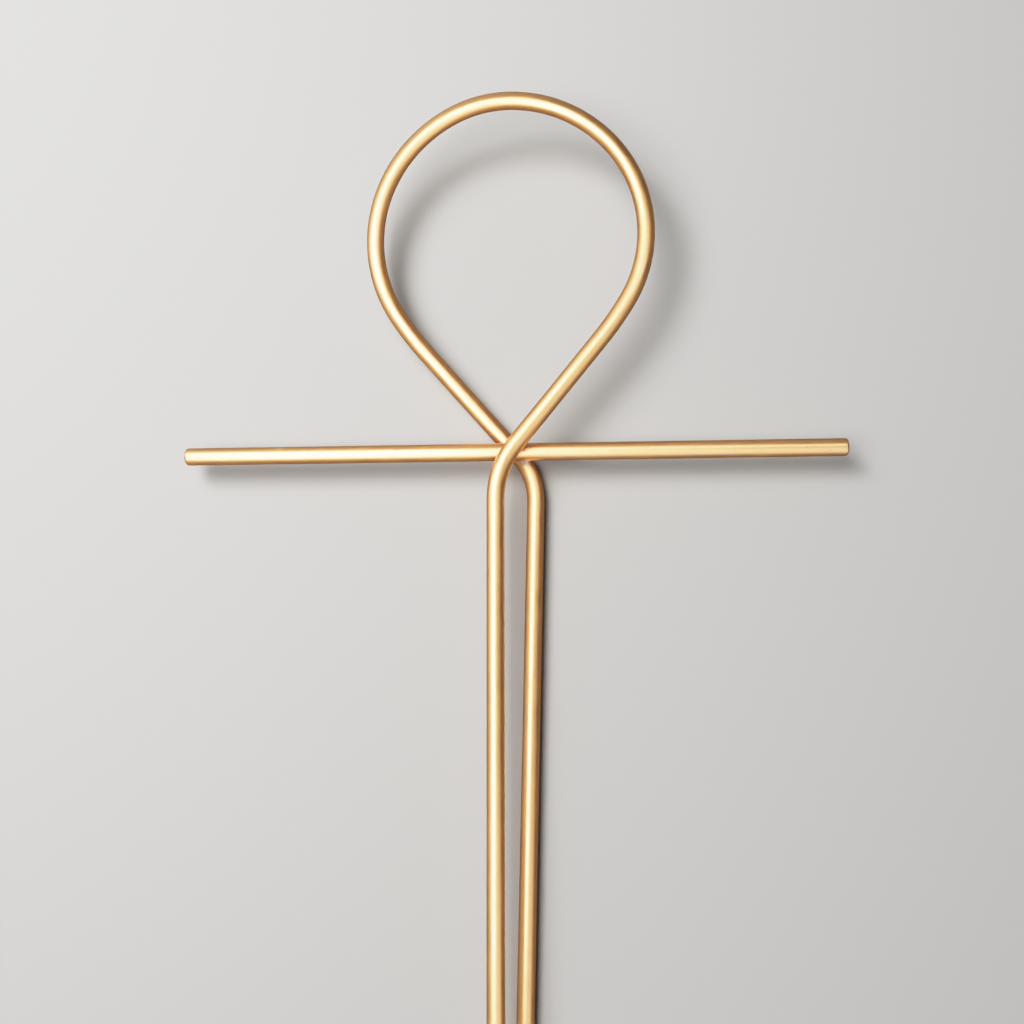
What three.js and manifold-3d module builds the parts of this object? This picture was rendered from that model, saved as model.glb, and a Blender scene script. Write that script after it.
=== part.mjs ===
// An ankh made of two round brass rods, lying flat as it would on a table.
// One long rod is bent into the loop and both legs of the shaft. Its two strands cross
// above the shaft, one over and one under a straight crossbar, and braze holds the three
// together. +X runs along the crossbar, +Y towards the top of the loop and +Z up.
import * as THREE from 'three';
import { mergeVertices } from 'three/addons/utils/BufferGeometryUtils.js';
import Module from 'manifold-3d';

const wasm = await Module();
wasm.setup();

// Driving dimensions, in millimetres and degrees
const rodDiameter = 8;
const endChamfer = 0.6;
const crossbarLength = 303;
const shaftLength = 300; // from the crossbar's axis to the ends of the legs
const leftLegOffset = 6.2; // left leg's axis from the middle of the crossbar
const legSpacing = 18; // between the legs' axes, taken at the crossbar
const rightLegLean = 1.47; // the right leg leans towards the left one
const leftBendRadius = 40.6;
const rightBendRadius = 32;
const frontStrandAngle = 50.6; // between the crossbar and the strand that lies on top
const backStrandAngle = 48.4; // between the crossbar and the strand that lies below
const frontStrandCrossing = 0.8; // where the strand's axis crosses the crossbar's, from its middle
const backStrandCrossing = 3.1;
const loopRadius = 62.9;
const shoulderRadius = 151; // the slight bow between each strand and the loop
const shoulderTurn = 7.9;
const loopLift = 6.8; // the top of the loop stands this far above the front strand's level
const levelRun = 10; // each strand is level this far up from the crossbar's axis
const easedShare = 0.12; // of each side's climb, at either end, where its slope changes
const frontBrazeReach = 1.2; // how far the braze spreads out from the surface of each rod
const backBrazeReach = 2;

// Clearances and smoothness
const jointGap = 0.3; // between the rods where they cross, and between braze and rod
const rodSides = 32;
const bendStep = 4; // degrees of bend between two sections
const climbStep = 8; // millimetres between two sections where the rod climbs
const halvings = 40; // of the stretch in which a place along the rod is looked for

// Sizes that follow
const rodRadius = rodDiameter / 2;
const backLevel = rodRadius;
const barLevel = backLevel + rodDiameter + jointGap;
const frontLevel = barLevel + rodDiameter + jointGap;
const topLevel = frontLevel + loopLift;

const radians = THREE.MathUtils.degToRad;

function heading(degrees) {
  return new THREE.Vector2(Math.cos(radians(degrees)), Math.sin(radians(degrees)));
}

function straight(length) {
  return { length, turn: 0 };
}

function bend(radius, turn) {
  return { length: radius * Math.abs(radians(turn)), turn };
}

// Where a stretch of rod has got to, in plan, after some of its length
function advance(place, stretch, length) {
  const turn = stretch.turn * (length / stretch.length);
  const angle = radians(turn);
  const chord = turn === 0 ? length : (2 * length * Math.sin(angle / 2)) / angle;
  return {
    point: place.point.clone().addScaledVector(heading(place.direction + turn / 2), chord),
    direction: place.direction + turn,
  };
}

// Lengths to go along two directions so that together they cover a step
function shares(step, along, then) {
  const spread = along.cross(then);
  return [step.cross(then) / spread, along.cross(step) / spread];
}

// The bent rod as a bender would make it, from the end of the left leg round to the right leg
function rodStretches() {
  const legWay = 90;
  const frontWay = frontStrandAngle;
  const backWay = 360 - backStrandAngle;
  const rightLegWay = 270 - rightLegLean;
  const up = heading(legWay);
  const front = heading(frontWay);
  const back = heading(backWay);
  const down = heading(rightLegWay);

  const leftEnd = new THREE.Vector2(-leftLegOffset, -shaftLength);
  const rightTop = new THREE.Vector2(legSpacing - leftLegOffset, 0);
  const frontFoot = new THREE.Vector2(frontStrandCrossing, 0);
  const backFoot = new THREE.Vector2(backStrandCrossing, 0);

  // Each leg's bend rounds the corner between the leg and its strand
  const leftTurn = frontWay - legWay;
  const rightTurn = rightLegWay - backWay;
  const leftTangent = leftBendRadius * Math.tan(Math.abs(radians(leftTurn)) / 2);
  const rightTangent = rightBendRadius * Math.tan(Math.abs(radians(rightTurn)) / 2);
  const [leftRise, frontRun] = shares(frontFoot.clone().sub(leftEnd), up, front);
  const [backRun, rightDrop] = shares(rightTop.clone().sub(backFoot), back, down);
  const frontStart = frontFoot.clone().addScaledVector(front, leftTangent - frontRun);
  const backEnd = backFoot.clone().addScaledVector(back, backRun - rightTangent);
  const rightLegLength = shaftLength / Math.cos(radians(rightLegLean)) + rightDrop - rightTangent;

  // The loop, then the lengths of the two strands that bring it to both bends
  const loop = [
    bend(shoulderRadius, shoulderTurn),
    bend(loopRadius, backWay - frontWay - 2 * shoulderTurn),
    bend(shoulderRadius, shoulderTurn),
  ];
  let place = { point: frontStart, direction: frontWay };
  for (const stretch of loop) {
    place = advance(place, stretch, stretch.length);
  }
  const [frontStrand, backStrand] = shares(backEnd.clone().sub(place.point), front, back);

  return {
    start: { point: leftEnd, direction: legWay },
    stretches: [
      straight(leftRise - leftTangent),
      bend(leftBendRadius, leftTurn),
      straight(frontStrand),
      ...loop,
      straight(backStrand),
      bend(rightBendRadius, rightTurn),
      straight(rightLegLength),
    ],
  };
}

// The axis of the bent rod in space, with a section wherever its shape needs one
class RodAxis extends THREE.Curve {
  constructor({ start, stretches }) {
    super();
    this.places = [{ ...start, length: 0 }];
    this.stretches = stretches;
    for (const stretch of stretches) {
      const last = this.places.at(-1);
      const next = advance(last, stretch, stretch.length);
      this.places.push({ ...next, length: last.length + stretch.length });
    }
    this.total = this.places.at(-1).length;
    this.frontCrossing = this.lengthWhere((place) => place.point.y >= 0, 0);
    this.backCrossing = this.lengthWhere((place) => place.point.y <= 0, this.frontCrossing + 1);
    this.topOfLoop = this.lengthWhere((place) => place.direction >= 180, 0);
    this.climbStart = this.frontCrossing + levelRun;
    this.climbEnd = this.backCrossing - levelRun;
    this.stations = this.findStations(0, this.total);
  }

  placeAt(length) {
    let index = 0;
    while (index < this.stretches.length - 1 && length > this.places[index + 1].length) {
      index += 1;
    }
    return advance(this.places[index], this.stretches[index], length - this.places[index].length);
  }

  // The first length past a given one at which a test of the place holds
  lengthWhere(test, from) {
    let low = from;
    let high = from;
    while (!test(this.placeAt(high))) {
      low = high;
      high += rodRadius;
    }
    for (let halving = 0; halving < halvings; halving += 1) {
      const middle = (low + high) / 2;
      if (test(this.placeAt(middle))) {
        high = middle;
      } else {
        low = middle;
      }
    }
    return high;
  }

  // Height and slope: level on top of the crossbar, climbing from there to the top of the
  // loop, falling down the loop's other side, and level below the crossbar
  climbAt(length) {
    if (length < this.topOfLoop) {
      return this.easedClimb(length, this.climbStart, this.topOfLoop, frontLevel, topLevel);
    }
    return this.easedClimb(length, this.topOfLoop, this.climbEnd, topLevel, backLevel);
  }

  // A straight climb whose slope builds up and dies away over a share of it at either end
  easedClimb(length, from, to, first, last) {
    const share = THREE.MathUtils.clamp((length - from) / (to - from), 0, 1);
    const near = Math.min(share, 1 - share);
    const steepness = Math.min(1, near / easedShare) / (1 - easedShare);
    const covered = (near - Math.min(near, easedShare) / 2) * steepness;
    const climbed = share < 0.5 ? covered : 1 - covered;
    return {
      height: first + (last - first) * climbed,
      slope: ((last - first) * steepness) / (to - from),
    };
  }

  findStations(from, to) {
    const found = [from];
    for (let index = 0; index < this.stretches.length; index += 1) {
      const begin = Math.max(from, this.places[index].length);
      const end = Math.min(to, this.places[index + 1].length);
      if (end <= begin) {
        continue;
      }
      const { turn, length } = this.stretches[index];
      const bends = (Math.abs(turn) * (end - begin)) / (length * bendStep);
      const climbs = begin < this.climbEnd && end > this.climbStart ? (end - begin) / climbStep : 0;
      const steps = Math.max(1, Math.ceil(bends), Math.ceil(climbs));
      for (let step = 1; step <= steps; step += 1) {
        found.push(begin + ((end - begin) * step) / steps);
      }
    }
    return found;
  }

  // The same axis between two of its lengths
  between(from, to) {
    const part = Object.create(this);
    part.stations = this.findStations(from, to);
    return part;
  }

  getUtoTmapping(u) {
    return u;
  }

  lengthAt(t) {
    const scaled = t * (this.stations.length - 1);
    const index = Math.min(Math.floor(scaled), this.stations.length - 2);
    return THREE.MathUtils.lerp(this.stations[index], this.stations[index + 1], scaled - index);
  }

  pointAt(length) {
    const { point } = this.placeAt(length);
    return new THREE.Vector3(point.x, point.y, this.climbAt(length).height);
  }

  getPoint(t) {
    return this.pointAt(this.lengthAt(t));
  }

  getTangent(t) {
    const length = this.lengthAt(t);
    const way = heading(this.placeAt(length).direction);
    return new THREE.Vector3(way.x, way.y, this.climbAt(length).slope).normalize();
  }
}

function roundSection(radius) {
  const section = new THREE.Shape();
  section.absarc(0, 0, radius, 0, 2 * Math.PI, false);
  return section;
}

// A whole circle is drawn with two sides for each of its curve segments
function rodAlong(axis, radius) {
  return new THREE.ExtrudeGeometry(roundSection(radius), {
    steps: axis.stations.length - 1,
    curveSegments: rodSides / 2,
    extrudePath: axis,
  });
}

// A profile of [radius, height] pairs turned round the Z axis
function turned(profile) {
  const points = profile.map(([radius, height]) => new THREE.Vector2(radius, height));
  return new THREE.LatheGeometry(points, rodSides).rotateX(Math.PI / 2);
}

// A straight rod along Z with both ends chamfered
function straightRod(radius, length, chamfer) {
  const half = length / 2;
  return turned([
    [0, -half],
    [radius - chamfer, -half],
    [radius, chamfer - half],
    [radius, half - chamfer],
    [radius - chamfer, half],
    [0, half],
  ]);
}

function barAlongX(radius, length, chamfer) {
  return straightRod(radius, length, chamfer).rotateY(Math.PI / 2).translate(0, 0, barLevel);
}

// The corner that a file takes off the end of a rod, for an end at the origin that faces +Z
function chamferRing(radius, chamfer) {
  const over = radius / 2;
  return turned([
    [radius - chamfer - over, over],
    [radius + over, -chamfer - over],
    [radius + over, over],
    [radius - chamfer - over, over],
  ]);
}

function solid(geometry) {
  geometry.deleteAttribute('normal');
  geometry.deleteAttribute('uv');
  const merged = mergeVertices(geometry);
  return new wasm.Manifold(
    new wasm.Mesh({
      numProp: 3,
      vertProperties: new Float32Array(merged.attributes.position.array),
      triVerts: new Uint32Array(merged.index.array),
    }),
  );
}

function geometryOf(manifold) {
  const mesh = manifold.getMesh();
  const geometry = new THREE.BufferGeometry();
  geometry.setAttribute('position', new THREE.BufferAttribute(mesh.vertProperties, 3));
  geometry.setIndex(new THREE.BufferAttribute(mesh.triVerts, 1));
  geometry.computeVertexNormals();
  return geometry;
}

// A chamfer ring moved to one end of the bent rod
function ringAtEnd(axis, t) {
  const outward = axis.getTangent(t).multiplyScalar(t === 0 ? -1 : 1);
  const turn = new THREE.Quaternion().setFromUnitVectors(new THREE.Vector3(0, 0, 1), outward);
  const end = axis.getPoint(t);
  return chamferRing(rodRadius, endChamfer).applyQuaternion(turn).translate(end.x, end.y, end.z);
}

function bentRod(axis) {
  return solid(rodAlong(axis, rodRadius))
    .subtract(solid(ringAtEnd(axis, 0)))
    .subtract(solid(ringAtEnd(axis, 1)));
}

// Braze fills the wedge round the point where a strand rests against the crossbar: all that
// lies within reach of both rods, less the rods themselves
function brazeAt(axis, crossing, spread) {
  const margin = 2 * rodDiameter;
  const strand = axis.between(crossing - margin, crossing + margin);
  const reach = rodRadius + spread;
  const seat = rodRadius + jointGap;
  return solid(barAlongX(reach, 2 * margin, 0))
    .intersect(solid(rodAlong(strand, reach)))
    .subtract(solid(barAlongX(seat, 3 * margin, 0)))
    .subtract(solid(rodAlong(strand, seat)));
}

const brass = new THREE.MeshStandardMaterial({ color: 0xd9a95f, metalness: 1, roughness: 0.25 });
const filler = new THREE.MeshStandardMaterial({ color: 0xb9aa8c, metalness: 0.9, roughness: 0.45 });

function piece(name, geometry, material) {
  const mesh = new THREE.Mesh(geometry, material.clone());
  mesh.name = name;
  return mesh;
}

const axis = new RodAxis(rodStretches());

const ankh = new THREE.Group();
ankh.add(piece('bent_rod', geometryOf(bentRod(axis)), brass));
ankh.add(piece('crossbar', barAlongX(rodRadius, crossbarLength, endChamfer), brass));
ankh.add(piece('front_braze', geometryOf(brazeAt(axis, axis.frontCrossing, frontBrazeReach)), filler));
ankh.add(piece('back_braze', geometryOf(brazeAt(axis, axis.backCrossing, backBrazeReach)), filler));

// The origin lies below the middle of the whole outline
const topEdge = axis.pointAt(axis.topOfLoop).y + rodRadius;
ankh.position.y = (shaftLength - topEdge) / 2;

export default ankh;
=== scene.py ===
"""Looks of a brass ankh: its two round rods, the braze that joins them and a plain studio.

One long rod is bent into the loop and both legs of the shaft. Its two strands cross above
the shaft, one over and one under a straight crossbar, and braze holds the three together.
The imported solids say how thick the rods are, how they are stacked and where they lie.
Sizes are in metres and angles in degrees. +X runs along the crossbar, +Y towards the top
of the loop and +Z up.
"""

import logging
import math
from collections.abc import Callable
from dataclasses import dataclass
from enum import Enum

import bmesh
import bpy
from mathutils import Euler, Matrix, Vector

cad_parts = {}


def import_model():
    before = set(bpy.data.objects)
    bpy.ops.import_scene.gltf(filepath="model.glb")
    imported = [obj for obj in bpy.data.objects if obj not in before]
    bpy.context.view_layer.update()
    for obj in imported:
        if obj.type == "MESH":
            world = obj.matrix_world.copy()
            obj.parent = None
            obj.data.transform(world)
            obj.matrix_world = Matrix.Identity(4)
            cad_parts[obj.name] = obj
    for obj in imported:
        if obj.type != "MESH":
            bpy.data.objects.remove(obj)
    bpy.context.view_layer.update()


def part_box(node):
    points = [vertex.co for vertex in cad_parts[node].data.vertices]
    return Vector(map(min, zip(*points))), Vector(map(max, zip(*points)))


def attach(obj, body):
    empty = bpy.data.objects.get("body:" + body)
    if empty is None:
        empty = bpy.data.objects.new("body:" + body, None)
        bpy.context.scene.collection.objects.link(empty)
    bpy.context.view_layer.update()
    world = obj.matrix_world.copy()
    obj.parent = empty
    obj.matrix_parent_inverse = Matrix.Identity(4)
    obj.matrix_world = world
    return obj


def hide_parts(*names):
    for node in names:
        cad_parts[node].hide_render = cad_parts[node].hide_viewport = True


log = logging.getLogger("ankh")

ROOT = "root"
TINY = 1e-6
MILLIMETRES = 1000
LYING_ALONG_X = Euler((0, math.radians(90), 0))

Triple = tuple[float, float, float]
Colour = tuple[float, float, float]
Piece = bpy.types.Object
Socket = bpy.types.NodeSocket
Sockets = bpy.types.NodeOutputs


class Node(Enum):
    """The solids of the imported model."""

    BENT_ROD = "bent_rod"
    CROSSBAR = "crossbar"
    FRONT_BRAZE = "front_braze"
    BACK_BRAZE = "back_braze"


class Slot(Enum):
    """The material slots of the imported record."""

    BRASS = "brass_rod"
    BRAZE = "braze"


class Trace(Enum):
    """The attributes that a rod's mesh carries for its finish."""

    ALONG = "straight_place"
    RIM = "rim"


class Reach(Enum):
    """What a light reaches."""

    DULL = "dull surfaces"
    GLOSS = "reflections"


# Modelling


def deselect() -> None:
    """Deselects every object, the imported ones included."""
    bpy.ops.object.select_all(action="DESELECT")


def pick(*pieces: Piece) -> None:
    """Selects these pieces alone and makes the first of them the active one.

    Args:
        pieces: The objects to work on.
    """
    deselect()
    for piece in pieces:
        piece.select_set(True)
    bpy.context.view_layer.objects.active = pieces[0]


def apply_modifier(piece: Piece, kind: str, **settings: object) -> None:
    """Adds a modifier to a piece and applies it.

    Args:
        piece: The object to change.
        kind: Blender's name for the kind of modifier.
        settings: The modifier's own settings.
    """
    pick(piece)
    modifier = piece.modifiers.new(kind.title(), kind)
    for name, value in settings.items():
        setattr(modifier, name, value)
    bpy.ops.object.modifier_apply(modifier=modifier.name)


def pick_edges(piece: Piece, test: Callable[[Vector, Vector], bool]) -> None:
    """Selects the edges, in edit mode, whose two ends pass a test.

    Args:
        piece: The object in edit mode.
        test: Takes the places of an edge's two ends.
    """
    bpy.ops.mesh.select_mode(type="EDGE")
    bpy.ops.mesh.select_all(action="DESELECT")
    mesh = bmesh.from_edit_mesh(piece.data)
    for edge in mesh.edges:
        first, second = edge.verts
        edge.select_set(test(first.co, second.co))
    bmesh.update_edit_mesh(piece.data)


def pick_faces(piece: Piece, test: Callable[[Vector, Vector], bool]) -> None:
    """Selects the faces, in edit mode, that pass a test.

    Args:
        piece: The object in edit mode.
        test: Takes a face's middle and its normal.
    """
    bpy.ops.mesh.select_mode(type="FACE")
    bpy.ops.mesh.select_all(action="DESELECT")
    mesh = bmesh.from_edit_mesh(piece.data)
    for face in mesh.faces:
        face.select_set(test(face.calc_center_median(), face.normal))
    bmesh.update_edit_mesh(piece.data)


def settle(piece: Piece) -> None:
    """Puts a piece's place, turn and size into its mesh."""
    pick(piece)
    bpy.ops.object.transform_apply(location=True, rotation=True, scale=True)


def hand_over(piece: Piece, node: Node) -> None:
    """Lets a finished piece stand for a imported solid.

    Args:
        piece: The finished piece.
        node: The solid that it stands for.
    """
    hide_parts(node.value)
    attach(piece, ROOT)


def report(piece: Piece) -> None:
    """Logs how many faces a finished piece has and how large it is.

    Args:
        piece: The finished piece.
    """
    faces = len(piece.data.polygons)
    size = " x ".join(f"{MILLIMETRES * side:.1f}" for side in piece.dimensions)
    log.info("%s: %d faces, %s mm", piece.name, faces, size)


@dataclass(frozen=True)
class Stock:
    """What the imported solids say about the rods."""

    radius: float
    crossbar_length: float
    crossing: Vector
    back_level: float
    front_level: float
    top_level: float

    @classmethod
    def measured(cls) -> "Stock":
        """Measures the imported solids.

        Returns:
            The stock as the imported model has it.
        """
        bar_low, bar_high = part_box(Node.CROSSBAR.value)
        rod_low, rod_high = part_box(Node.BENT_ROD.value)
        radius = (bar_high.z - bar_low.z) / 2
        crossing = (bar_low + bar_high) / 2
        back_level = rod_low.z + radius
        return cls(
            radius=radius,
            crossbar_length=bar_high.x - bar_low.x,
            crossing=crossing,
            back_level=back_level,
            front_level=2 * crossing.z - back_level,
            top_level=rod_high.z - radius,
        )


@dataclass(frozen=True)
class Place:
    """Where the bent rod has got to, in plan and from the middle of the crossbar."""

    x: float
    y: float
    heading: float
    length: float = 0.0


@dataclass(frozen=True)
class Stretch:
    """A length of rod that is straight or bent to one radius."""

    length: float
    turn: float = 0.0

    @classmethod
    def bend(cls, radius: float, turn: float) -> "Stretch":
        """Returns the stretch that a bend of this radius and turn takes up."""
        return cls(radius * abs(math.radians(turn)), turn)

    def advance(self, place: Place, length: float) -> Place:
        """Goes some way along the stretch.

        Args:
            place: Where the stretch starts.
            length: How far to go along it.

        Returns:
            The place reached.
        """
        turn = math.radians(self.turn) * length / self.length
        chord = 2 * length * math.sin(turn / 2) / turn if turn else length
        way = math.radians(place.heading) + turn / 2
        return Place(
            x=place.x + chord * math.cos(way),
            y=place.y + chord * math.sin(way),
            heading=place.heading + math.degrees(turn),
            length=place.length + length,
        )


def shares(step: tuple[float, float], first: float, second: float) -> tuple[float, float]:
    """Splits a step into lengths along two headings.

    Args:
        step: The step to cover, in plan.
        first: The first heading.
        second: The second heading.

    Returns:
        The length to go along each heading.
    """
    first_x, first_y = math.cos(math.radians(first)), math.sin(math.radians(first))
    second_x, second_y = math.cos(math.radians(second)), math.sin(math.radians(second))
    spread = first_x * second_y - first_y * second_x
    along_first = (step[0] * second_y - step[1] * second_x) / spread
    along_second = (first_x * step[1] - first_y * step[0]) / spread
    return along_first, along_second


class RodAxis:
    """The line through the middle of the bent rod, from the end of its left leg."""

    HALVINGS = 40
    EASED_SHARE = 0.12
    TOP_HEADING = 180.0

    def __init__(
        self, start: Place, stretches: list[Stretch], stock: Stock, level_run: float
    ) -> None:
        """Lays the stretches end to end and finds the crossings and the climb.

        Args:
            start: The end of the left leg.
            stretches: The straights and bends in order.
            stock: The rods' thickness and levels.
            level_run: How far each strand is level past the crossbar.
        """
        self.stretches = stretches
        self.stock = stock
        self.places = [start]
        for stretch in stretches:
            self.places.append(stretch.advance(self.places[-1], stretch.length))
        self.total = self.places[-1].length
        self.front_crossing = self.length_where(lambda place: place.y >= 0, 0.0)
        past = self.front_crossing + stock.radius
        self.back_crossing = self.length_where(lambda place: place.y <= 0, past)
        self.top_of_loop = self.length_where(lambda place: place.heading >= self.TOP_HEADING, past)
        self.climb_start = self.front_crossing + level_run
        self.climb_end = self.back_crossing - level_run

    def place_at(self, length: float) -> Place:
        """Finds the place at a length along the rod.

        Args:
            length: How far along the rod.

        Returns:
            The place there.
        """
        index = 0
        while index < len(self.stretches) - 1 and length > self.places[index + 1].length:
            index += 1
        start = self.places[index]
        return self.stretches[index].advance(start, length - start.length)

    def length_where(self, test: Callable[[Place], bool], start: float) -> float:
        """Finds the first length at which a test of the place holds.

        Args:
            test: Takes the place at a length.
            start: The length to start from.

        Returns:
            The length along the rod.
        """
        low = high = start
        while not test(self.place_at(high)):
            low = high
            high += self.stock.radius
        for _ in range(self.HALVINGS):
            middle = (low + high) / 2
            if test(self.place_at(middle)):
                high = middle
            else:
                low = middle
        return high

    def height_at(self, length: float) -> float:
        """Finds the height at a length: up to the top of the loop and down again.

        Args:
            length: How far along the rod.

        Returns:
            The height of the rod's middle there.
        """
        stock = self.stock
        if length < self.top_of_loop:
            climbed = self.climbed(length, self.climb_start, self.top_of_loop)
            return stock.front_level + climbed * (stock.top_level - stock.front_level)
        fallen = self.climbed(length, self.top_of_loop, self.climb_end)
        return stock.top_level + fallen * (stock.back_level - stock.top_level)

    @classmethod
    def climbed(cls, length: float, start: float, end: float) -> float:
        """Returns the share of a climb that is behind, with both of its ends eased.

        Args:
            length: A length along the rod.
            start: The length where the climb starts.
            end: The length where it ends.

        Returns:
            The share, from 0 to 1.
        """
        share = min(1.0, max(0.0, (length - start) / (end - start)))
        near = min(share, 1 - share)
        steepness = min(1.0, near / cls.EASED_SHARE) / (1 - cls.EASED_SHARE)
        covered = (near - min(near, cls.EASED_SHARE) / 2) * steepness
        return covered if share < 0.5 else 1 - covered

    def points(self, start: float, end: float, step: float) -> list[Vector]:
        """Samples the line between two lengths.

        Args:
            start: The first length.
            end: The last length.
            step: The most that two points may be apart.

        Returns:
            Points in the model's frame.
        """
        count = math.ceil((end - start) / step)
        found = []
        for index in range(count + 1):
            length = start + (end - start) * index / count
            place = self.place_at(length)
            across = self.stock.crossing.x + place.x
            up = self.stock.crossing.y + place.y
            found.append(Vector((across, up, self.height_at(length))))
        return found


@dataclass
class RoundRod:
    """A length of drawn rod that is sawn off and has its rims rounded."""

    name: str
    radius: float
    length: float
    sides: int = 56
    rim: float = 0.0006
    rim_segments: int = 4
    face_border: float = 0.0007
    section_step: float = 0.0015
    rim_wear_reach: float = 0.0009
    smooth_angle: float = 40.0

    MOST_CUTS = 90

    def straight(self, place: Vector, turn: Euler) -> Piece:
        """Models the rod while it is straight.

        Args:
            place: The rod's middle.
            turn: How it is turned from lying along Z.

        Returns:
            The rod, with its place in its mesh.
        """
        deselect()
        bpy.ops.mesh.primitive_cylinder_add(
            vertices=self.sides,
            radius=self.radius,
            depth=self.length,
            end_fill_type="NGON",
            location=place,
            rotation=turn,
        )
        rod = bpy.context.object
        rod.name = self.name
        rod.data.name = self.name
        self.round_rims(rod)
        self.divide(rod)
        self.keep_traces(rod)
        settle(rod)
        return rod

    def round_rims(self, rod: Piece) -> None:
        """Rounds the rims of both ends and sets a border round each end face.

        Args:
            rod: The straight rod, still lying along Z.
        """
        half = self.length / 2
        bpy.ops.object.mode_set(mode="EDIT")
        pick_edges(rod, lambda a, b: abs(a.z - b.z) < TINY)
        bpy.ops.mesh.bevel(offset=self.rim, segments=self.rim_segments)
        pick_faces(rod, lambda middle, normal: abs(abs(middle.z) - half) < TINY)
        bpy.ops.mesh.inset(thickness=self.face_border, depth=0)
        bpy.ops.object.mode_set(mode="OBJECT")

    def divide(self, rod: Piece) -> None:
        """Cuts the rod's sides into sections that are short enough to bend.

        Args:
            rod: The straight rod, still lying along Z.
        """
        spans = max(2, math.ceil(self.length / self.section_step))
        rounds = max(1, math.ceil(math.log(spans, self.MOST_CUTS)))
        cuts = math.ceil(spans ** (1 / rounds)) - 1
        longest = self.length
        bpy.ops.object.mode_set(mode="EDIT")
        for _ in range(rounds):
            pick_edges(rod, lambda a, b: abs(a.z - b.z) > longest / 2)
            bpy.ops.mesh.subdivide(number_cuts=cuts)
            longest /= cuts + 1
        bpy.ops.object.mode_set(mode="OBJECT")

    def keep_traces(self, rod: Piece) -> None:
        """Notes on every vertex where it lies on the straight rod and how worn it is.

        Args:
            rod: The straight rod, still lying along Z.
        """
        attributes = rod.data.attributes
        attributes.new(Trace.ALONG.value, "FLOAT_VECTOR", "POINT")
        attributes.new(Trace.RIM.value, "FLOAT", "POINT")
        along = attributes[Trace.ALONG.value].data
        rim = attributes[Trace.RIM.value].data
        half = self.length / 2
        for vertex in rod.data.vertices:
            outward = math.hypot(vertex.co.x, vertex.co.y) / self.radius
            inward = (half - abs(vertex.co.z)) / self.rim_wear_reach
            along[vertex.index].vector = vertex.co
            rim[vertex.index].value = max(0.0, 1 - inward) * max(0.0, 2 * outward - 1)

    def bent(self, points: list[Vector]) -> Piece:
        """Models the rod and bends it along a line.

        Args:
            points: The line, as long as the rod.

        Returns:
            The bent rod.
        """
        rod = self.straight(Vector(), Euler())
        curve = bpy.data.curves.new("bending_line", "CURVE")
        curve.dimensions = "3D"
        curve.twist_mode = "Z_UP"
        curve.use_stretch = True
        curve.use_deform_bounds = True
        spline = curve.splines.new("POLY")
        spline.points.add(len(points) - 1)
        spline.points.foreach_set("co", [part for point in points for part in (*point, 1.0)])
        line = bpy.data.objects.new("bending_line", curve)
        bpy.context.scene.collection.objects.link(line)
        apply_modifier(rod, "CURVE", object=line, deform_axis="POS_Z")
        bpy.data.objects.remove(line)
        return rod

    def smooth(self, rod: Piece) -> None:
        """Shades the rod smooth and keeps its sharp edges."""
        pick(rod)
        bpy.ops.object.shade_smooth_by_angle(angle=math.radians(self.smooth_angle))


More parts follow.
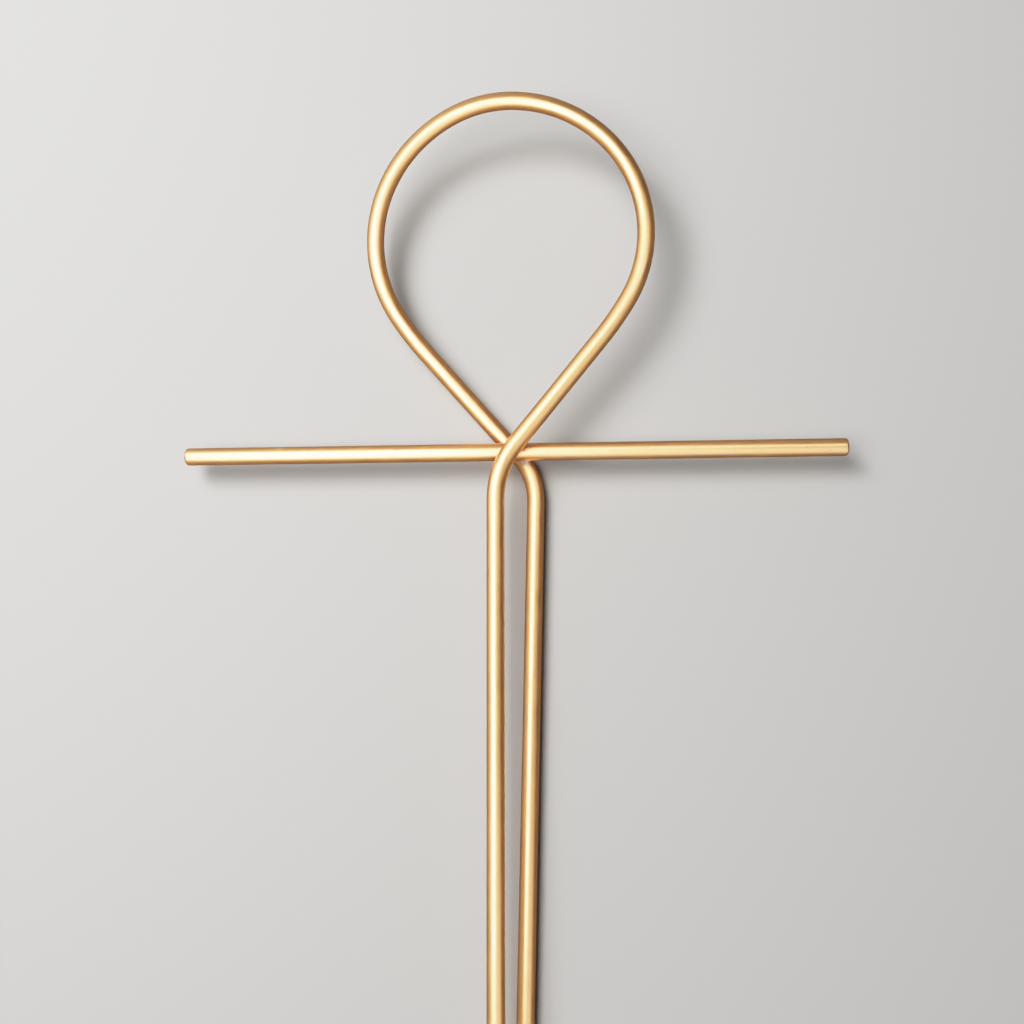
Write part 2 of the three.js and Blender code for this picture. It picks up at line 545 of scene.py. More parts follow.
@dataclass
class BentRod:
    """The long rod that is both legs and the loop, as its bending table gives it."""

    shaft_length: float = 0.300
    left_leg_offset: float = 0.0062
    leg_spacing: float = 0.018
    right_leg_lean: float = 1.47
    left_bend_radius: float = 0.0406
    right_bend_radius: float = 0.032
    front_strand_angle: float = 50.6
    back_strand_angle: float = 48.4
    front_strand_crossing: float = 0.0008
    back_strand_crossing: float = 0.0031
    loop_radius: float = 0.0629
    shoulder_radius: float = 0.151
    shoulder_turn: float = 7.9
    level_run: float = 0.010
    point_step: float = 0.0005

    # Headings in plan, where 0 runs along the crossbar
    UP = 90.0
    DOWN = 270.0
    FULL_TURN = 360.0

    def axis(self, stock: Stock) -> RodAxis:
        """Works out the rod's line from its bending table.

        Args:
            stock: The rods' thickness and levels.

        Returns:
            The line through the middle of the rod.
        """
        front = self.front_strand_angle
        back = self.FULL_TURN - self.back_strand_angle
        down = self.DOWN - self.right_leg_lean
        left_turn = front - self.UP
        right_turn = down - back
        left_tangent = self.left_bend_radius * math.tan(abs(math.radians(left_turn)) / 2)
        right_tangent = self.right_bend_radius * math.tan(abs(math.radians(right_turn)) / 2)

        to_front = (self.front_strand_crossing + self.left_leg_offset, self.shaft_length)
        left_rise, front_run = shares(to_front, self.UP, front)
        right_top = self.leg_spacing - self.left_leg_offset
        back_run, right_drop = shares((right_top - self.back_strand_crossing, 0.0), back, down)
        front_start = self.along(self.front_strand_crossing, front, left_tangent - front_run)
        back_end = self.along(self.back_strand_crossing, back, back_run - right_tangent)
        leaning_length = self.shaft_length / math.cos(math.radians(self.right_leg_lean))

        shoulder = Stretch.bend(self.shoulder_radius, self.shoulder_turn)
        round_turn = back - front - 2 * self.shoulder_turn
        loop = [shoulder, Stretch.bend(self.loop_radius, round_turn), shoulder]
        place = front_start
        for stretch in loop:
            place = stretch.advance(place, stretch.length)
        to_back = (back_end.x - place.x, back_end.y - place.y)
        front_strand, back_strand = shares(to_back, front, back)

        start = Place(-self.left_leg_offset, -self.shaft_length, self.UP)
        stretches = [
            Stretch(left_rise - left_tangent),
            Stretch.bend(self.left_bend_radius, left_turn),
            Stretch(front_strand),
            *loop,
            Stretch(back_strand),
            Stretch.bend(self.right_bend_radius, right_turn),
            Stretch(leaning_length + right_drop - right_tangent),
        ]
        return RodAxis(start, stretches, stock, self.level_run)

    @staticmethod
    def along(crossing: float, heading: float, length: float) -> Place:
        """Returns the place some way along a strand from where it crosses the crossbar."""
        way = math.radians(heading)
        return Place(crossing + length * math.cos(way), length * math.sin(way), heading)

    def build(self, axis: RodAxis, finish: "BrassFinish") -> Piece:
        """Models and dresses the rod.

        Args:
            axis: The line through its middle.
            finish: Its brass.

        Returns:
            The bent rod.
        """
        drawn = RoundRod(Node.BENT_ROD.value + "_drawn", axis.stock.radius, axis.total)
        rod = drawn.bent(axis.points(0.0, axis.total, self.point_step))
        drawn.smooth(rod)
        rod.data.materials.append(finish.material())
        hand_over(rod, Node.BENT_ROD)
        return rod


@dataclass
class Crossbar:
    """The straight rod that is held between the two strands."""

    rim: float = 0.0012
    rim_segments: int = 7
    section_step: float = 0.004

    def build(self, stock: Stock, finish: "BrassFinish") -> Piece:
        """Models and dresses the crossbar.

        Args:
            stock: The rods' thickness and levels.
            finish: Its brass.

        Returns:
            The crossbar.
        """
        drawn = RoundRod(
            Node.CROSSBAR.value + "_drawn",
            stock.radius,
            stock.crossbar_length,
            rim=self.rim,
            rim_segments=self.rim_segments,
            section_step=self.section_step,
        )
        rod = drawn.straight(stock.crossing, LYING_ALONG_X)
        drawn.smooth(rod)
        rod.data.materials.append(finish.material())
        hand_over(rod, Node.CROSSBAR)
        return rod


@dataclass(frozen=True)
class Bead:
    """A drop of braze, placed from the middle of the crossbar."""

    x: float
    y: float
    z: float
    radius: float
    stretch: Triple = (1.0, 1.0, 1.0)

    SUBDIVISIONS = 3

    def model(self, crossing: Vector, swell: float = 0.0) -> Piece:
        """Models the drop.

        Args:
            crossing: The middle of the crossbar.
            swell: How much wider than the drop itself to make it.

        Returns:
            The drop.
        """
        deselect()
        bpy.ops.mesh.primitive_ico_sphere_add(subdivisions=self.SUBDIVISIONS, radius=1.0)
        drop = bpy.context.object
        drop.scale = [self.radius * side + swell for side in self.stretch]
        drop.location = crossing + Vector((self.x, self.y, self.z))
        settle(drop)
        return drop


# Filler beside the fillets: drops on top of the crossbar and a puddle below it
SPATTER = (
    Bead(x=0.0067, y=0.0001, z=0.0039, radius=0.0003),
    Bead(x=0.0084, y=0.0015, z=0.0036, radius=0.0003),
    Bead(x=-0.0042, y=0.0012, z=0.0037, radius=0.0003),
)
PUDDLE = (Bead(x=0.0068, y=-0.0036, z=-0.0034, radius=0.0015, stretch=(1.3, 0.9, 1.0)),)


@dataclass
class Braze:
    """Filler that has run into the crevice between the crossbar and one strand."""

    node: Node
    crossing: float
    spread: float
    puddles: tuple[Bead, ...] = ()
    spatter: tuple[Bead, ...] = ()
    reach: float = 0.0085
    rod_reach: float = 0.012
    sides: int = 64
    grain: float = 0.00025
    evenings: int = 6
    evening_share: float = 0.5
    sink: float = 0.0001
    ball_sides: int = 48

    POINTS_A_SECTION = 3

    def build(self, axis: RodAxis, finish: "BrazeFinish") -> Piece:
        """Models the fillet that the filler leaves between the two rods.

        Both rods are thickened by the fillet's radius, joined, and thinned again, which
        leaves the crevice between them filled. The rods themselves are then cut away.

        Args:
            axis: The line of the bent rod.
            finish: The braze's own finish.

        Returns:
            The braze.
        """
        stock = axis.stock
        thick = self.rods(axis, stock.radius + self.spread, self.rod_reach)
        puddles = [bead.model(stock.crossing, self.spread) for bead in self.puddles]
        braze = self.joined([*thick, *puddles])
        braze.name = self.node.value + "_run"
        braze.data.name = braze.name
        apply_modifier(braze, "REMESH", mode="VOXEL", voxel_size=self.grain)
        apply_modifier(braze, "SMOOTH", factor=self.evening_share, iterations=self.evenings)
        thinning = -(self.spread + self.sink)
        apply_modifier(braze, "DISPLACE", strength=thinning, mid_level=0.0)
        apply_modifier(braze, "REMESH", mode="VOXEL", voxel_size=self.grain)
        self.trim(braze, axis)
        self.joined([braze, *(bead.model(stock.crossing) for bead in self.spatter)])
        bpy.ops.object.shade_smooth()
        braze.data.materials.clear()
        braze.data.materials.append(finish.material())
        hand_over(braze, self.node)
        return braze

    def rods(self, axis: RodAxis, radius: float, reach: float) -> list[Piece]:
        """Models the stretches of both rods that lie near the crossing.

        Args:
            axis: The line of the bent rod.
            radius: Their radius.
            reach: How far they run either way.

        Returns:
            The crossbar's stretch and the strand's.
        """
        place = axis.place_at(self.crossing)
        middle = axis.stock.crossing + Vector((place.x, 0, 0))
        bar = RoundRod("bar_stretch", radius, 2 * reach, sides=self.sides)
        strand = RoundRod("strand_stretch", radius, 2 * reach, sides=self.sides)
        step = strand.section_step / self.POINTS_A_SECTION
        line = axis.points(self.crossing - reach, self.crossing + reach, step)
        return [bar.straight(middle, LYING_ALONG_X), strand.bent(line)]

    @staticmethod
    def joined(pieces: list[Piece]) -> Piece:
        """Joins pieces into the first of them and leaves it selected.

        Args:
            pieces: The pieces to join.

        Returns:
            The first piece, with the others in it.
        """
        pick(*pieces)
        bpy.ops.object.join()
        return bpy.context.object

    def trim(self, braze: Piece, axis: RodAxis) -> None:
        """Keeps what lies near the crossing and outside both rods.

        Args:
            braze: The piece to trim.
            axis: The line of the bent rod.
        """
        place = axis.place_at(self.crossing)
        level = (axis.stock.crossing.z + axis.height_at(self.crossing)) / 2
        middle = axis.stock.crossing + Vector((place.x, 0, 0))
        middle.z = level
        deselect()
        bpy.ops.mesh.primitive_uv_sphere_add(
            segments=self.ball_sides,
            ring_count=self.ball_sides // 2,
            radius=self.reach,
            location=middle,
        )
        ball = bpy.context.object
        settle(ball)
        self.boolean(braze, ball, "INTERSECT")
        for rod in self.rods(axis, axis.stock.radius - self.sink / 2, 2 * self.rod_reach):
            self.boolean(braze, rod, "DIFFERENCE")

    @staticmethod
    def boolean(piece: Piece, tool: Piece, operation: str) -> None:
        """Cuts a piece with a tool and removes the tool."""
        apply_modifier(piece, "BOOLEAN", object=tool, operation=operation, solver="EXACT")
        bpy.data.objects.remove(tool)


# Finishes


class NodeBench:
    """Adds nodes to one tree, each joined to what feeds it."""

    COLUMN_WIDTH = 200

    # The Mix node's sockets for colours
    FIRST_COLOUR = 6
    SECOND_COLOUR = 7
    MIXED_COLOUR = 2

    def __init__(self, tree: bpy.types.NodeTree) -> None:
        """Starts on an empty tree."""
        self.tree = tree
        self.column = 0

    def add(
        self, kind: str, inputs: dict[str | int, object] | None = None, **settings: object
    ) -> bpy.types.Node:
        """Adds a node.

        Args:
            kind: Blender's name for the kind of node.
            inputs: Values or output sockets, by the name or number of the input.
            settings: The node's own settings.

        Returns:
            The node.
        """
        node = self.tree.nodes.new(kind)
        node.location = (self.COLUMN_WIDTH * self.column, 0)
        self.column += 1
        for name, value in settings.items():
            setattr(node, name, value)
        for name, value in (inputs or {}).items():
            if isinstance(value, Socket):
                self.tree.links.new(value, node.inputs[name])
            else:
                node.inputs[name].default_value = value
        return node

    def sum(self, operation: str, *values: object) -> Socket:
        """Returns the result of a sum, such as a product, of values or sockets."""
        inputs = dict(enumerate(values))
        return self.add("ShaderNodeMath", inputs, operation=operation).outputs[0]

    def vector(self, operation: str, *values: object) -> Sockets:
        """Returns the outputs of a sum, such as a distance, of vectors or their sockets."""
        inputs = dict(enumerate(values))
        return self.add("ShaderNodeVectorMath", inputs, operation=operation).outputs

    def fade(self, distance: object, reach: object, kind: str) -> Socket:
        """Falls from 1 where there is no distance to 0 at the reach.

        Args:
            distance: The distance.
            reach: The distance at which nothing is left.
            kind: Blender's name for the kind of fall.

        Returns:
            What is left, from 0 to 1.
        """
        inputs = {"Value": distance, "From Max": reach, "To Min": 1.0, "To Max": 0.0}
        return self.add("ShaderNodeMapRange", inputs, interpolation_type=kind).outputs[0]

    def blend(self, share: object, first: object, second: object) -> Socket:
        """Mixes two colours.

        Args:
            share: How much of the second colour.
            first: The first colour.
            second: The second colour.

        Returns:
            The mixed colour.
        """
        inputs = {0: share, self.FIRST_COLOUR: first, self.SECOND_COLOUR: second}
        mixed = self.add("ShaderNodeMix", inputs, data_type="RGBA")
        return mixed.outputs[self.MIXED_COLOUR]


def paint(colour: Colour) -> tuple[float, float, float, float]:
    """Returns a colour with full opacity."""
    return (*colour, 1.0)


class Effect:
    """A shader node group that finishes share, fed by vectors and numbers."""

    VECTOR = "NodeSocketVector"
    NUMBER = "NodeSocketFloat"

    name: str
    vectors: tuple[str, ...] = ("Place",)
    numbers: tuple[str, ...]
    gives: str = "Mask"

    def group(self) -> bpy.types.NodeTree:
        """Builds the group once.

        Returns:
            The group.
        """
        known = bpy.data.node_groups.get(self.name)
        if known is not None:
            return known
        tree = bpy.data.node_groups.new(self.name, "ShaderNodeTree")
        for name in self.vectors:
            tree.interface.new_socket(name, in_out="INPUT", socket_type=self.VECTOR)
        for name in self.numbers:
            tree.interface.new_socket(name, in_out="INPUT", socket_type=self.NUMBER)
        tree.interface.new_socket(self.gives, in_out="OUTPUT", socket_type=self.NUMBER)
        bench = NodeBench(tree)
        entry = bench.add("NodeGroupInput")
        bench.add("NodeGroupOutput", {0: self.fill(bench, entry.outputs)})
        return tree

    def fill(self, bench: NodeBench, given: Sockets) -> Socket:
        """Builds the group's inside.

        Args:
            bench: Adds nodes to the group.
            given: The group's inputs.

        Returns:
            The socket that the group puts out.
        """
        raise NotImplementedError

    def placed(self, bench: NodeBench, **inputs: object) -> Socket:
        """Places the group in a material.

        Args:
            bench: Adds nodes to the material.
            inputs: Values or sockets for the group's inputs.

        Returns:
            The group's output.
        """
        node = bench.add("ShaderNodeGroup", node_tree=self.group())
        for name, value in inputs.items():
            socket = node.inputs[name.replace("_", " ").capitalize()]
            if isinstance(value, Socket):
                bench.tree.links.new(value, socket)
            else:
                socket.default_value = value
        return node.outputs[0]


class Clouds(Effect):
    """Soft patches, such as tarnish, from 0 to 1."""

    DETAIL = 4.0
    ROUGHNESS = 0.6
    MIDDLE = 0.5

    name = "clouds"
    numbers = ("Patch", "Contrast")

    def fill(self, bench: NodeBench, given: Sockets) -> Socket:
        """Spreads a noise about its middle by the contrast and keeps it from 0 to 1.

        Args:
            bench: Adds nodes to the group.
            given: The group's inputs.

        Returns:
            The mask.
        """
        inputs = {
            "Vector": given["Place"],
            "Scale": bench.sum("DIVIDE", 1.0, given["Patch"]),
            "Detail": self.DETAIL,
            "Roughness": self.ROUGHNESS,
        }
        noise = bench.add("ShaderNodeTexNoise", inputs).outputs[0]
        centred = bench.sum("SUBTRACT", noise, self.MIDDLE)
        spread = bench.sum("MULTIPLY", centred, given["Contrast"])
        inputs = {0: spread, 1: self.MIDDLE}
        return bench.add("ShaderNodeMath", inputs, operation="ADD", use_clamp=True).outputs[0]


class DrawnLines(Effect):
    """Fine lines along the rod, left by the die that it was drawn through."""

    DETAIL = 3.0
    ROUGHNESS = 0.65

    name = "drawn_lines"
    numbers = ("Line width", "Line length")
    gives = "Height"

    def fill(self, bench: NodeBench, given: Sockets) -> Socket:
        """Reads a noise that is stretched along the rod.

        Args:
            bench: Adds nodes to the group.
            given: The group's inputs.

        Returns:
            The height, from 0 to 1.
        """
        width, length = given["Line width"], given["Line length"]
        size = bench.add("ShaderNodeCombineXYZ", {0: width, 1: width, 2: length}).outputs[0]
        inputs = {
            "Vector": bench.vector("DIVIDE", given["Place"], size)[0],
            "Scale": 1.0,
            "Detail": self.DETAIL,
            "Roughness": self.ROUGHNESS,
        }
        return bench.add("ShaderNodeTexNoise", inputs).outputs[0]


class Pits(Effect):
    """Small round spots in some cells of a pattern, 1 in their middle."""

    name = "pits"
    numbers = ("Spacing", "Share", "Radius")

    def fill(self, bench: NodeBench, given: Sockets) -> Socket:
        """Keeps a share of the cells and draws a soft spot in each.

        Args:
            bench: Adds nodes to the group.
            given: The group's inputs.

        Returns:
            The mask.
        """
        scale = bench.sum("DIVIDE", 1.0, given["Spacing"])
        cells = bench.add("ShaderNodeTexVoronoi", {"Vector": given["Place"], "Scale": scale})
        chance = bench.add("ShaderNodeSeparateColor", {0: cells.outputs["Color"]}).outputs[0]
        kept = bench.sum("LESS_THAN", chance, given["Share"])
        edge = bench.sum("DIVIDE", given["Radius"], given["Spacing"])
        spot = bench.fade(cells.outputs["Distance"], edge, "SMOOTHSTEP")
        return bench.sum("MULTIPLY", kept, spot)


class NearPoint(Effect):
    """A mask that is 1 at a point, such as the brazed joint, and fades out round it."""

    name = "near_point"
    vectors = ("Place", "Point")
    numbers = ("Reach",)

    def fill(self, bench: NodeBench, given: Sockets) -> Socket:
        """Fades with the distance from the point.

        Args:
            bench: Adds nodes to the group.
            given: The group's inputs.

        Returns:
            The mask.
        """
        distance = bench.vector("DISTANCE", given["Place"], given["Point"])["Value"]
        return bench.fade(distance, given["Reach"], "SMOOTHERSTEP")


class DieLine(Effect):
    """A fine line along one side of a straight rod, 1 in its middle."""

    ACROSS = (1, 1, 0)

    name = "die_line"
    vectors = ("Place", "Side")
    numbers = ("Width", "Start")

    def fill(self, bench: NodeBench, given: Sockets) -> Socket:
        """Fades with the distance from the side's own line and begins at the start.

        Args:
            bench: Adds nodes to the group.
            given: The group's inputs.

        Returns:
            The mask.
        """
        flat = bench.vector("MULTIPLY", given["Place"], self.ACROSS)[0]
        turned = bench.vector("CROSS_PRODUCT", flat, given["Side"])[0]
        distance = bench.vector("LENGTH", turned)["Value"]
        near = bench.fade(distance, given["Width"], "SMOOTHSTEP")
        facing = bench.vector("DOT_PRODUCT", flat, given["Side"])["Value"]
        this_side = bench.sum("GREATER_THAN", facing, 0.0)
        length = bench.add("ShaderNodeSeparateXYZ", {0: given["Place"]}).outputs[2]
        begun = bench.sum("GREATER_THAN", length, given["Start"])
        return bench.sum("MULTIPLY", bench.sum("MULTIPLY", near, this_side), begun)


class Finish:
    """A material that is built from its own sizes and colours."""

    name: str

    def material(self) -> bpy.types.Material:
        """Builds the material.

        Returns:
            The material.
        """
        made = bpy.data.materials.new(self.name)
        made.use_nodes = True
        made.node_tree.nodes.clear()
        bench = NodeBench(made.node_tree)
        bench.add("ShaderNodeOutputMaterial", {"Surface": self.surface(bench)})
        return made

    def surface(self, bench: NodeBench) -> Socket:
        """Builds the surface's shader.

        Args:
            bench: Adds nodes to the material.

        Returns:
            The shader's output.
        """
        raise NotImplementedError


@dataclass(frozen=True)
class BrassFinish(Finish):
    """Satin drawn brass with a little tarnish, wear on its rims and heat round the joint."""

    name: str
    joint: Vector
    shift: Triple = (0.0, 0.0, 0.0)
    die_line_and_glint: bool = False
    bright: Colour = (0.985, 0.584, 0.273)
    tarnished: Colour = (0.935, 0.522, 0.228)
    heated: Colour = (0.85, 0.44, 0.185)
    grime: Colour = (0.30, 0.17, 0.06)
    scored: Colour = (0.72, 0.66, 0.60)
    lacquer: float = 1.0
    lacquer_roughness: float = 0.25
    roughness: float = 0.38
    cloud_roughness: float = 0.10
    grain_roughness: float = 0.08
    cloud_size: float = 0.009
    cloud_contrast: float = 2.6
    cloud_share: float = 0.4
    mottle_size: float = 0.0014
    mottle_contrast: float = 2.0
    mottle_share: float = 0.35
    line_width: float = 0.00035
    line_length: float = 0.030
    line_depth: float = 0.000006
    mottle_depth: float = 0.000014
    pit_spacing: float = 0.004
    pit_radius: float = 0.00022
    pit_share: float = 0.25
    pit_depth: float = 0.00003
    grime_share: float = 0.8
    heat_reach: float = 0.028
    heat_share: float = 0.35
    line_angle: float = 49.0
    line_half_width: float = 0.00045
    line_start: float = 0.012
    line_share: float = 0.55
    # A painted glint near the crossbar's left end: a lighter spot on its upper edge where a small
    # bump catches the light
    glint_place: Triple = (-0.0025, 0.0031, -0.1068)
    glint_reach: float = 0.0028
    painted_glint: Colour = (1.0, 0.76, 0.46)

    def surface(self, bench: NodeBench) -> Socket:
        """Builds the brass.

        Args:
            bench: Adds nodes to the material.

        Returns:
            The shader's output.
        """
        trace = bench.add("ShaderNodeAttribute", attribute_name=Trace.ALONG.value)
        rim = bench.add("ShaderNodeAttribute", attribute_name=Trace.RIM.value).outputs["Fac"]
        along = bench.vector("ADD", trace.outputs["Vector"], self.shift)[0]
        place = bench.add("ShaderNodeTexCoord").outputs["Object"]

        clouds = Clouds().placed(
            bench, place=along, patch=self.cloud_size, contrast=self.cloud_contrast
        )
        mottle = Clouds().placed(
            bench, place=along, patch=self.mottle_size, contrast=self.mottle_contrast
        )
        lines = DrawnLines().placed(
            bench, place=along, line_width=self.line_width, line_length=self.line_length
        )
        pits = Pits().placed(
            bench,
            place=along,
            spacing=self.pit_spacing,
            share=self.pit_share,
            radius=self.pit_radius,
        )
        heat = NearPoint().placed(bench, place=place, point=self.joint, reach=self.heat_reach)

        tarnish = bench.sum("MULTIPLY", clouds, self.cloud_share)
        tarnish = bench.sum("MULTIPLY_ADD", mottle, self.mottle_share, tarnish)
        colour = bench.blend(tarnish, paint(self.bright), paint(self.tarnished))
        warmed = bench.sum("MULTIPLY", heat, self.heat_share)
        colour = bench.blend(warmed, colour, paint(self.heated))
        colour = bench.blend(rim, colour, paint(self.bright))
        dirt = bench.sum("MULTIPLY", pits, self.grime_share)
        colour = bench.blend(dirt, colour, paint(self.grime))
        if self.die_line_and_glint:
            colour = self.die_line_and_glint_colour(bench, trace.outputs["Vector"], colour)

        grain = bench.sum("MULTIPLY", lines, mottle)
        rough = bench.sum("MULTIPLY_ADD", clouds, self.cloud_roughness, self.roughness)
        rough = bench.sum("MULTIPLY_ADD", grain, self.grain_roughness, rough)

        height = bench.sum("MULTIPLY", lines, self.line_depth)
        height = bench.sum("MULTIPLY_ADD", mottle, self.mottle_depth, height)
        height = bench.sum("MULTIPLY_ADD", pits, -self.pit_depth, height)
        bump = bench.add("ShaderNodeBump", {"Height": height, "Distance": 1.0})
        inputs = {
            "Base Color": colour,
            "Metallic": 1.0,
            "Roughness": rough,
            "Normal": bump.outputs[0],
            "Coat Weight": self.lacquer,
            "Coat Roughness": self.lacquer_roughness,
        }
        return bench.add("ShaderNodeBsdfPrincipled", inputs).outputs[0]

    def die_line_and_glint_colour(self, bench: NodeBench, trace: Socket, colour: Socket) -> Socket:
        """Draws the die's line along the crossbar's near side and, opposite, a painted glint: a
        lighter spot where a small bump catches the light.

        Args:
            bench: Adds nodes to the material.
            trace: The place on the straight rod, whose X points down.
            colour: The brass's colour.

        Returns:
            The colour with the die's line and the painted glint in it.
        """
        angle = math.radians(self.line_angle)
        line = DieLine().placed(
            bench,
            place=trace,
            side=(-math.cos(angle), -math.sin(angle), 0.0),
            width=self.line_half_width,
            start=self.line_start,
        )
        share = bench.sum("MULTIPLY", line, self.line_share)
        colour = bench.blend(share, colour, paint(self.scored))
        # Painted glint: the lighter spot where a small bump on the upper edge catches the light
        spot = NearPoint().placed(bench, place=trace, point=self.glint_place, reach=self.glint_reach)
        return bench.blend(spot, colour, paint(self.painted_glint))


@dataclass(frozen=True)
class BrazeFinish(Finish):
    """Pale filler metal, dull from its flux."""

    name: str = "silver_braze"
    clean: Colour = (0.97, 0.88, 0.77)
    fluxed: Colour = (0.86, 0.75, 0.62)
    metal: float = 0.2
    roughness: float = 0.42
    flux_roughness: float = 0.22
    flux_size: float = 0.0014
    flux_contrast: float = 3.0
    grain_size: float = 0.0004
    grain_contrast: float = 1.5
    grain_depth: float = 0.00004

    def surface(self, bench: NodeBench) -> Socket:
        """Builds the filler.

        Args:
            bench: Adds nodes to the material.

        Returns:
            The shader's output.
        """
        place = bench.add("ShaderNodeTexCoord").outputs["Object"]
        flux = Clouds().placed(
            bench, place=place, patch=self.flux_size, contrast=self.flux_contrast
        )
        grain = Clouds().placed(
            bench, place=place, patch=self.grain_size, contrast=self.grain_contrast
        )
        colour = bench.blend(flux, paint(self.clean), paint(self.fluxed))
        rough = bench.sum("MULTIPLY_ADD", flux, self.flux_roughness, self.roughness)
        height = bench.sum("MULTIPLY", grain, self.grain_depth)
        bump = bench.add("ShaderNodeBump", {"Height": height, "Distance": 1.0})
        inputs = {
            "Base Color": colour,
            "Metallic": self.metal,
            "Roughness": rough,
            "Normal": bump.outputs[0],
        }
        return bench.add("ShaderNodeBsdfPrincipled", inputs).outputs[0]


@dataclass(frozen=True)
class FloorFinish(Finish):
    """A plain pale sheet that can be seen through from below."""

    name: str = "pale_floor"
    colour: Colour = (0.52, 0.513, 0.50)
    # Painted reflection: the darker floor colour that only the metal's reflections see, which
    # darkens the rods' edges
    mirrored: Colour = (0.163, 0.13, 0.098)
    roughness: float = 0.9
    sheen: float = 0.2

    def surface(self, bench: NodeBench) -> Socket:
        """Builds the floor, which is darker where the metal mirrors it.

        Args:
            bench: Adds nodes to the material.

        Returns:
            The shader's output.
        """
        # Painted reflection: reflected rays see the darker colour, the camera sees the pale one
        mirrored = bench.add("ShaderNodeLightPath").outputs["Is Glossy Ray"]
        sheet = bench.add(
            "ShaderNodeBsdfPrincipled",
            {
                "Base Color": bench.blend(mirrored, paint(self.colour), paint(self.mirrored)),
                "Roughness": self.roughness,
                "Specular IOR Level": self.sheen,
            },
        )
        below = bench.add("ShaderNodeNewGeometry").outputs["Backfacing"]
        clear = bench.add("ShaderNodeBsdfTransparent")
        inputs = {0: below, 1: sheet.outputs[0], 2: clear.outputs[0]}
        return bench.add("ShaderNodeMixShader", inputs).outputs[0]


# Studio


@dataclass(frozen=True)
class SoftBox:
    """A soft light that points at the ankh, with its height along the shaft."""

    name: str
    reach: Reach
    direction: Triple
    distance: float
    size: tuple[float, float]
    power: float

    def build(self, target: Vector) -> None:
        """Adds the light.

        Args:
            target: What it points at.
        """
        light = bpy.data.lights.new(self.name, "AREA")
        light.shape = "RECTANGLE"
        light.size, light.size_y = self.size
        light.energy = self.power
        lamp = bpy.data.objects.new(self.name, light)
        lamp.visible_camera = False
        lamp.visible_diffuse = self.reach is Reach.DULL
        lamp.visible_glossy = self.reach is Reach.GLOSS
        way = Vector(self.direction).normalized()
        across = Vector((0, 1, 0)).cross(way).normalized()
        lamp.location = target + way * self.distance
        lamp.rotation_euler = Matrix((across, way.cross(across), way)).transposed().to_euler()
        bpy.context.scene.collection.objects.link(lamp)


@dataclass(frozen=True)
class Film:
    """How brightness turns into tone: dark tones deepen and highlights roll off to cream."""

    faintest: float = 0.05
    brightest: float = 4.5
    points: int = 12
    deepening: float = 0.05
    deepening_reach: float = 0.1
    shoulder: float = 2.8

    COMBINED = 3

    def tone(self, brightness: float) -> float:
        """Works out the tone of a brightness.

        Args:
            brightness: The brightness, 1 for plain white.

        Returns:
            The tone, from 0 to 1.
        """
        lost = self.deepening * (1 - math.exp(-brightness / self.deepening_reach))
        kept = brightness - lost
        return kept / (1 + kept**self.shoulder) ** (1 / self.shoulder)

    def load(self) -> None:
        """Sets the tone curve of the scene's view."""
        view = bpy.context.scene.view_settings
        view.view_transform = "Standard"
        view.use_curve_mapping = True
        mapping = view.curve_mapping
        mapping.white_level = (self.brightest, self.brightest, self.brightest)
        mapping.extend = "HORIZONTAL"
        combined = mapping.curves[self.COMBINED]
        step = (self.brightest / self.faintest) ** (1 / self.points)
        for index in range(self.points):
            brightness = self.faintest * step**index
            combined.points.new(brightness / self.brightest, self.tone(brightness))
        mapping.update()


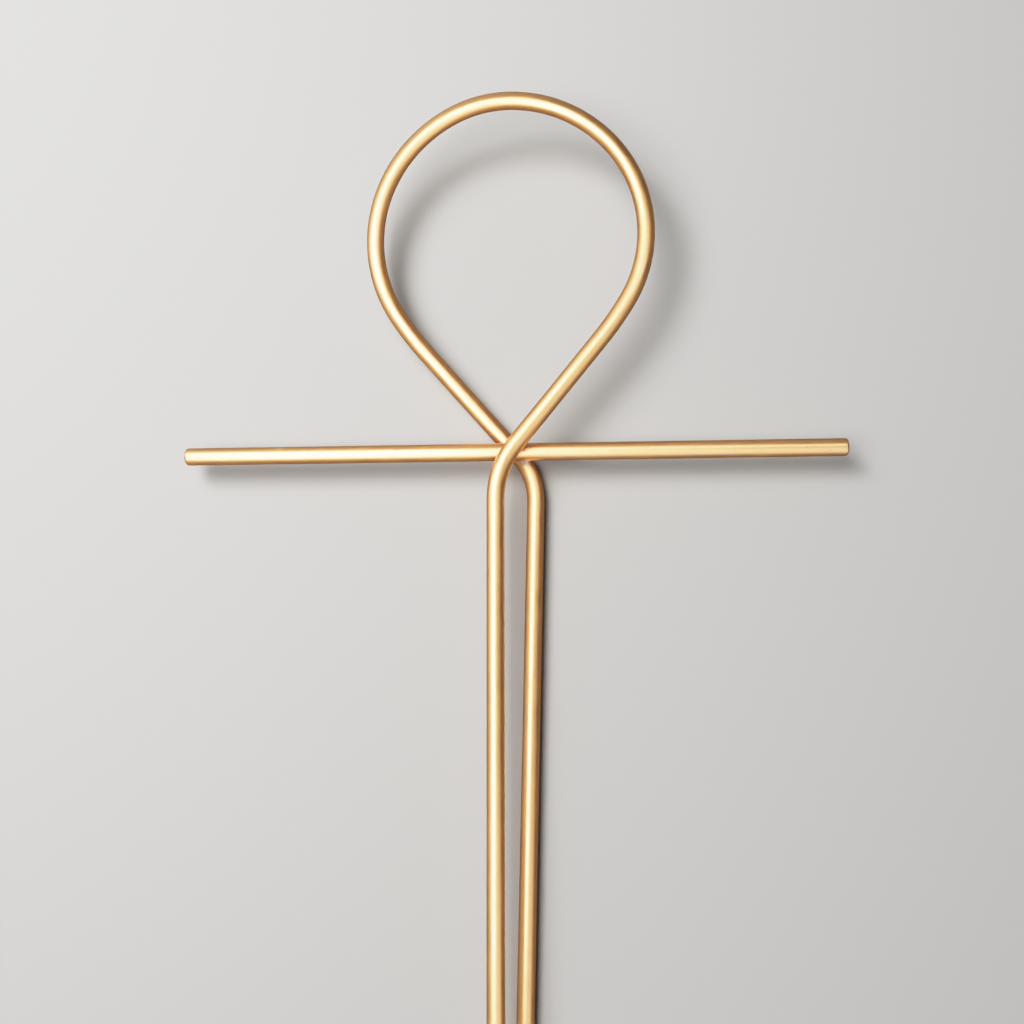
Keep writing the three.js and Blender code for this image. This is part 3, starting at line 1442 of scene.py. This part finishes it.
@dataclass
class Studio:
    """A plain pale floor, soft light from the upper left and the camera."""

    floor_size: float = 2.8
    surround: Colour = (1.0, 0.99, 0.97)
    surround_strength: float = 0.22
    surround_rise: Triple = (-0.57, 0.38, -0.40)
    surround_least: float = 0.04
    backdrop_strength: float = 0.55
    camera_place: Triple = (0.03224, -0.08874, 0.4747)
    camera_turn: Triple = (7.31, 3.83, -0.17)
    lens: float = 37.125
    sensor: float = 36.0
    nearest: float = 0.01
    finish: FloorFinish = FloorFinish()
    film: Film = Film()
    lights: tuple[SoftBox, ...] = (
        SoftBox(
            "window", Reach.DULL, (-0.61, 0.55, 1.0), distance=1.1, size=(0.4, 0.4), power=6.0
        ),
        SoftBox(
            "ceiling", Reach.DULL, (-0.50, 0.15, 1.0), distance=1.4, size=(1.1, 1.7), power=30.0
        ),
        SoftBox(
            "panel", Reach.GLOSS, (-0.46, -0.145, 1.0), distance=0.395, size=(0.24, 0.55), power=2.9
        ),
        SoftBox(
            "far_wall", Reach.GLOSS, (0.30, -1.05, 1.0), distance=2.0, size=(4.0, 2.6), power=46.0
        ),
        SoftBox(
            "strip", Reach.GLOSS, (-0.22, 0.41, 1.0), distance=0.35, size=(1.18, 0.12), power=1.6
        ),
    )

    def build(self, target: Vector) -> None:
        """Builds the studio round the ankh.

        Args:
            target: The point that the lights are aimed at.
        """
        self.build_floor()
        self.build_surround()
        for light in self.lights:
            light.build(target)
            log.info("light %s: %.1f W", light.name, light.power)
        self.build_camera(target)
        self.film.load()

    def build_floor(self) -> None:
        """Lays the floor under the ankh."""
        deselect()
        bpy.ops.mesh.primitive_plane_add(size=self.floor_size)
        floor = bpy.context.object
        floor.name = "floor"
        floor.data.materials.append(self.finish.material())

    def build_surround(self) -> None:
        """Fills the room with faint light, mostly from the left, and a plain backdrop."""
        world = bpy.data.worlds.new("surround")
        world.use_nodes = True
        world.node_tree.nodes.clear()
        bench = NodeBench(world.node_tree)
        way = bench.add("ShaderNodeTexCoord").outputs["Generated"]
        rise = bench.vector("DOT_PRODUCT", way, self.surround_rise)["Value"]
        strength = bench.sum("ADD", rise, self.surround_strength)
        strength = bench.sum("MAXIMUM", strength, self.surround_least)
        seen = bench.add("ShaderNodeLightPath").outputs["Is Camera Ray"]
        inputs = {"Factor": seen, "A": strength, "B": self.backdrop_strength}
        strength = bench.add("ShaderNodeMix", inputs).outputs[0]
        inputs = {"Color": paint(self.surround), "Strength": strength}
        light = bench.add("ShaderNodeBackground", inputs).outputs[0]
        bench.add("ShaderNodeOutputWorld", {"Surface": light})
        bpy.context.scene.world = world

    def build_camera(self, target: Vector) -> None:
        """Sets the camera where the photograph was taken from.

        Args:
            target: The middle of the crossbar.
        """
        lens = bpy.data.cameras.new("camera")
        lens.lens = self.lens
        lens.sensor_width = self.sensor
        lens.clip_start = self.nearest
        camera = bpy.data.objects.new("camera", lens)
        camera.location = target + Vector(self.camera_place)
        camera.rotation_euler = Euler([math.radians(turn) for turn in self.camera_turn])
        bpy.context.scene.collection.objects.link(camera)
        bpy.context.scene.camera = camera


def main() -> None:
    """Builds and reports the ankh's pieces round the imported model, then the studio."""
    logging.basicConfig(level=logging.INFO, format="%(message)s")
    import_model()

    stock = Stock.measured()
    bent_rod = BentRod()
    axis = bent_rod.axis(stock)
    length = MILLIMETRES * axis.total
    log.info("bent rod: %.1f mm of %.1f mm stock", length, MILLIMETRES * 2 * stock.radius)
    rod_brass = BrassFinish("brass_bent_rod", stock.crossing)
    report(bent_rod.build(axis, rod_brass))
    bar_brass = BrassFinish("brass_crossbar", stock.crossing, shift=(0.5, 0.3, 0.7), die_line_and_glint=True)
    report(Crossbar().build(stock, bar_brass))

    filler = BrazeFinish()
    front = Braze(Node.FRONT_BRAZE, axis.front_crossing, spread=0.0007, spatter=SPATTER)
    report(front.build(axis, filler))
    back = Braze(Node.BACK_BRAZE, axis.back_crossing, spread=0.0009, puddles=PUDDLE)
    report(back.build(axis, filler))

    Studio().build(stock.crossing)


if __name__ == "__main__":
    main()
